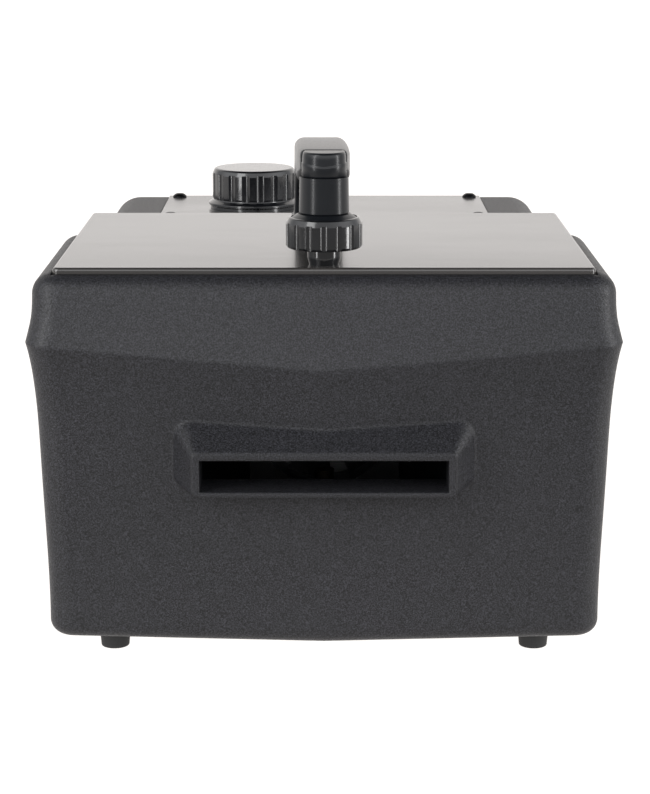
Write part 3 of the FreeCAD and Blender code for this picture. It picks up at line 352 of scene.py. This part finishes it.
def dress_nodes(materials):
    """Give every CAD node its finished material, and the few that differ from their slot."""
    for part in frame["record"]["subparts"]:
        node = nodes[part["node"]]
        node.data.materials.clear()
        node.data.materials.append(materials[part["material_slot"]])
    clamp_neck(materials["knob_plastic"])
    # The fog nozzle's brass is coloured near black: painted shade, for the shade deep inside the
    # outlet.
    nozzle_shade_brass = metal("brass_darkened_for_shade", srgb(20, 18, 15), srgb(38, 33, 26), 0.5, 0.65)
    satin = satin_plastic()
    for name, material in (("fog_nozzle", nozzle_shade_brass), ("handle_ferrule", satin),
                           ("handle_disc", satin)):
        nodes[name].data.materials.clear()
        nodes[name].data.materials.append(material)
    add_handle(satin)


def clamp_neck(black):
    """The part of the neck that stands above the deck is a black clamping flange."""
    neck = nodes["filler_neck"].data
    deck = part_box("rear_top_panel")[1].z
    neck.materials.append(black)
    for face in neck.polygons:
        if face.center.z > deck:
            face.material_index = 1


# ---------------------------------------------------------------- carry handle
HANDLE_LEAN = 0.022  # the handle stands turned a little to the left behind the lock axis
CORNER_STEPS = 5  # points round each corner of the grip's section
NOSE_STEPS = 28  # faces round the front of the nose
NOSE_TAIL = 10 * MM  # how far the nose runs back from the lock axis, into the grip
FOOT_EDGE = 3.3  # where the foot's chamfer starts, in mm above the lid
FOOT_RIM = 1.6  # where the chamfer meets the foot's side


def mesh_piece(name, rings, material):
    """Skin a row of closed rings of points and close both ends."""
    data = bpy.data.meshes.new(name)
    count = len(rings[0])
    points = [point for ring in rings for point in ring]
    faces = []
    for row in range(len(rings) - 1):
        for i in range(count):
            j = (i + 1) % count
            faces.append((row * count + i, row * count + j,
                          (row + 1) * count + j, (row + 1) * count + i))
    faces.append(tuple(reversed(range(count))))
    faces.append(tuple((len(rings) - 1) * count + i for i in range(count)))
    data.from_pydata(points, [], faces)
    solid = bmesh.new()
    solid.from_mesh(data)
    bmesh.ops.recalc_face_normals(solid, faces=solid.faces)
    solid.to_mesh(data)
    solid.free()
    data.materials.append(material)
    for face in data.polygons:
        face.use_smooth = len(face.vertices) == 4
    piece = bpy.data.objects.new(name, data)
    bpy.context.scene.collection.objects.link(piece)
    return piece


def round_box(middle, across, up, half, tall, radius):
    """Ring of points: a rounded rectangle in the plane of two unit directions."""
    ring = []
    for quarter, (sx, sz) in enumerate(((1, 1), (-1, 1), (-1, -1), (1, -1))):
        for step in range(CORNER_STEPS):
            angle = math.pi / 2 * (quarter + step / (CORNER_STEPS - 1))
            x = sx * (half - radius) + radius * math.cos(angle)
            z = sz * (tall - radius) + radius * math.sin(angle)
            ring.append(middle + across * x + up * z)
    return ring


def grip_ring(top, bottom, half, radius, axis):
    """Cross-section of the grip between a point on its top line and one on its under line."""
    upper = Vector((0, top[0] * MM, top[1] * MM))
    lower = Vector((0, bottom[0] * MM, bottom[1] * MM))
    middle = (upper + lower) / 2
    middle.x = -HANDLE_LEAN * (middle.y - axis)
    span = upper - lower
    return round_box(middle, Vector((1, 0, 0)), span.normalized(), half * MM,
                     span.length / 2, radius * MM)


def add_grip(axis, material):
    """Bowed grip: level behind the nose, then down in one bend to a foot on the lid.

    Each section has a point (y, z) on the top line and one on the under line, half its width
    and its corner radius, all in mm of the frame.
    """
    lid_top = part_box("lid")[1].z / MM
    rings = []
    for top, bottom, half, radius in (
        ((-186, 251.9), (-186, 240.6), 10.6, 2.2),
        ((-180, 252.2), (-179, 240.3), 11.6, 2.8),
        ((-172, 252.2), (-172, 237.4), 12.6, 3.6),
        ((-160, 252.1), (-161, 233.8), 13.3, 4.4),
        ((-140, 251.7), (-141, 232.0), 13.5, 4.8),
        ((-118, 250.8), (-119, 230.9), 13.5, 4.8),
        ((-96, 249.2), (-98, 229.5), 13.4, 4.8),
        ((-76, 246.9), (-80, 227.6), 13.3, 4.6),
        ((-60, 242.4), (-68, 224.4), 13.2, 4.4),
        ((-49, 236.2), (-61, 219.6), 13.1, 4.2),
        ((-41, 227.6), (-56.5, 214.0), 13.0, 4.0),
        ((-36, 218.0), (-53.5, 208.6), 12.9, 3.8),
        ((-32.6, 208.0), (-51.6, 203.6), 13.1, 3.6),
        ((-30.4, 201.4), (-50.4, 201.0), 13.6, 3.4),
        ((-28.4, lid_top + FOOT_EDGE), (-51.8, lid_top + FOOT_EDGE), 14.6, 3.2),
        ((-26.4, lid_top + FOOT_RIM), (-53, lid_top + FOOT_RIM), 15, 3),
        ((-26.4, lid_top), (-53, lid_top), 15, 3),
    ):
        rings.append(grip_ring(top, bottom, half, radius, axis))
    return mesh_piece("handle_grip", rings, material)


def nose_ring(axis, radius, back, height, dip):
    """Plan outline of the nose: a half round in front, with its middle dipped, and straight
    sides behind."""
    ring = []
    for step in range(NOSE_STEPS + 1):
        angle = math.pi * (1 + step / NOSE_STEPS)
        x = radius * math.cos(angle)
        ring.append(Vector((x, axis + radius * math.sin(angle),
                            height - dip * (1 - abs(x) / radius))))
    ring.append(Vector((radius, back, height)))
    ring.append(Vector((-radius, back, height)))
    return ring


def add_nose(axis, material):
    """Round nose on the ferrule, with a shallow V-shaped step across its front.

    Each ring has its radius, its height above the ferrule and the dip of its middle, in mm.
    """
    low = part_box("handle_ferrule")[1].z
    back = axis + NOSE_TAIL
    rings = []
    for radius, height, dip in (
        (10.5, 0.0, 0), (10.8, 0.4, 0), (10.8, 5.0, 0.4), (10.8, 6.4, 1.5), (10.55, 6.7, 1.5),
        (10.5, 7.2, 1.5), (10.4, 9.6, 0.8), (10.2, 10.9, 0.3), (9.8, 11.7, 0.1), (9.0, 12.0, 0),
    ):
        rings.append(nose_ring(axis, radius * MM, back, low + height * MM, dip * MM))
    return mesh_piece("handle_nose", rings, material)


def add_handle(material):
    """The handle of the frame with its finished curves, as a grip and a nose."""
    ferrule_low, ferrule_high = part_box("handle_ferrule")
    axis = (ferrule_low.y + ferrule_high.y) / 2
    pieces = (add_grip(axis, material), add_nose(axis, material))
    for piece in pieces:
        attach(piece, "lid")
    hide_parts("carry_handle")


# ---------------------------------------------------------------- studio
FLOOR_DIM_Y = -0.7  # from here towards the camera the floor has its low glow
FLOOR_BRIGHT_Y = -0.38  # from here backwards, its full glow
FLOOR_DIM_GLOW = 0.36
FLOOR_BRIGHT_GLOW = 1.09
FLOOR_WARMTH = (1, 0.965, 0.94, 1)
SWEEP_SIDE = 4.0  # half the sweep's width, and its reach to the front and upwards
SWEEP_START = 2.2  # where the floor starts to curve up
SWEEP_RADIUS = 1.2
SWEEP_STEPS = 12


def stage_material():
    """White seamless paper, bright under and behind the object, dim towards the camera."""
    shader = Shader("studio_white")
    along = shader.add("ShaderNodeSeparateXYZ", Vector=shader.place)
    glow = map_range(shader.tree, along.outputs["Y"], FLOOR_DIM_Y, FLOOR_BRIGHT_Y,
                     FLOOR_DIM_GLOW, FLOOR_BRIGHT_GLOW)
    shader.set(Base_Color=(0.05, 0.05, 0.05, 1), Roughness=0.9)
    shader.set(Emission_Color=FLOOR_WARMTH, Emission_Strength=glow)
    return shader.material


def add_sweep():
    """Floor that curves up into a wall behind the object."""
    floor = bpy.data.meshes.new("studio_floor")
    profile = [(-SWEEP_SIDE, 0.0), (SWEEP_START, 0.0)]
    for step in range(1, SWEEP_STEPS + 1):
        angle = math.pi / 2 * step / SWEEP_STEPS
        profile.append((SWEEP_START + SWEEP_RADIUS * math.sin(angle),
                        SWEEP_RADIUS * (1 - math.cos(angle))))
    profile.append((SWEEP_START + SWEEP_RADIUS, SWEEP_SIDE))
    points = [(x, y, z) for y, z in profile for x in (-SWEEP_SIDE, SWEEP_SIDE)]
    faces = [(i, i + 1, i + 3, i + 2) for i in range(0, len(points) - 2, 2)]
    floor.from_pydata(points, [], faces)
    sweep = bpy.data.objects.new("studio_floor", floor)
    floor.materials.append(stage_material())
    for face in floor.polygons:
        face.use_smooth = True
    bpy.context.scene.collection.objects.link(sweep)


WORLD_BACK = 0.9  # strength near the horizon behind the object
WORLD_FRONT = 3.0  # strength above the horizon behind the camera
WORLD_HORIZON = 0.4  # strength on the horizon itself behind the camera
WORLD_TOP = 0.03  # added everywhere, and all that is left overhead
WORLD_LIFT_FROM = 0.02  # sines of the elevation between which the front reaches its strength
WORLD_LIFT_TO = 0.3
WORLD_DIM_FROM = 0.45  # sine of the elevation where the surroundings start to darken
WORLD_DIM_TO = 0.85
WORLD_BLEND = 0.35  # Y of the direction, either side of 0, where front passes into back
WORLD_TINT = (0.975, 0.98, 1, 1)
LIGHT_AIM = (0, -0.05, 0.15)  # about the middle of the front cover


def add_world():
    """Surroundings that are pale round the horizon and dark overhead."""
    world = bpy.data.worlds.new("studio")
    world.use_nodes = True
    tree = world.node_tree
    place = tree.nodes.new("ShaderNodeTexCoord").outputs["Generated"]
    parts = tree.nodes.new("ShaderNodeSeparateXYZ")
    tree.links.new(place, parts.inputs[0])
    lifted = map_range(tree, parts.outputs["Z"], WORLD_LIFT_FROM, WORLD_LIFT_TO,
                       WORLD_HORIZON, WORLD_FRONT)
    horizon = map_range(tree, parts.outputs["Y"], -WORLD_BLEND, WORLD_BLEND, lifted,
                        WORLD_BACK)
    height = map_range(tree, parts.outputs["Z"], WORLD_DIM_FROM, WORLD_DIM_TO, 1.0, 0.0)
    strength = tree.nodes.new("ShaderNodeMath")
    strength.operation = "MULTIPLY_ADD"
    tree.links.new(horizon, strength.inputs[0])
    tree.links.new(height, strength.inputs[1])
    strength.inputs[2].default_value = WORLD_TOP
    background = tree.nodes["Background"]
    background.inputs["Color"].default_value = WORLD_TINT
    tree.links.new(strength.outputs["Value"], background.inputs["Strength"])
    bpy.context.scene.world = world
    bpy.context.scene.view_settings.view_transform = "Standard"


def map_range(tree, value, from_low, from_high, to_low, to_high):
    """Spread a value over a new range, whose ends are numbers or sockets."""
    node = tree.nodes.new("ShaderNodeMapRange")
    tree.links.new(value, node.inputs["Value"])
    for name, number in (("From Min", from_low), ("From Max", from_high),
                         ("To Min", to_low), ("To Max", to_high)):
        if isinstance(number, bpy.types.NodeSocket):
            tree.links.new(number, node.inputs[name])
        else:
            node.inputs[name].default_value = number
    return node.outputs["Result"]


def add_light(name, azimuth, height, distance, width, tall, power):
    """Softbox at an azimuth from the front, in degrees, positive towards +X. Sizes are in
    metres and the power is in watts."""
    turn = math.radians(azimuth)
    data = bpy.data.lights.new(name, "AREA")
    data.shape = "RECTANGLE"
    data.size = width
    data.size_y = tall
    data.energy = power
    lamp = bpy.data.objects.new(name, data)
    lamp.location = (distance * math.sin(turn), -distance * math.cos(turn), height)
    lamp.visible_camera = False
    aim = Vector(LIGHT_AIM) - lamp.location
    lamp.rotation_euler = aim.to_track_quat("-Z", "Y").to_euler()
    bpy.context.scene.collection.objects.link(lamp)


def add_studio():
    add_sweep()
    add_world()
    add_light("left_softbox", azimuth=-44, height=1.5, distance=1.7, width=0.8, tall=0.8,
              power=10)
    add_light("left_strip", azimuth=-44, height=0.36, distance=1.05, width=0.14, tall=0.7,
              power=3.4)
    add_light("right_strip", azimuth=66, height=0.36, distance=1.05, width=0.16, tall=0.7,
              power=4.6)


add_camera()
dress_nodes(make_materials())
add_studio()
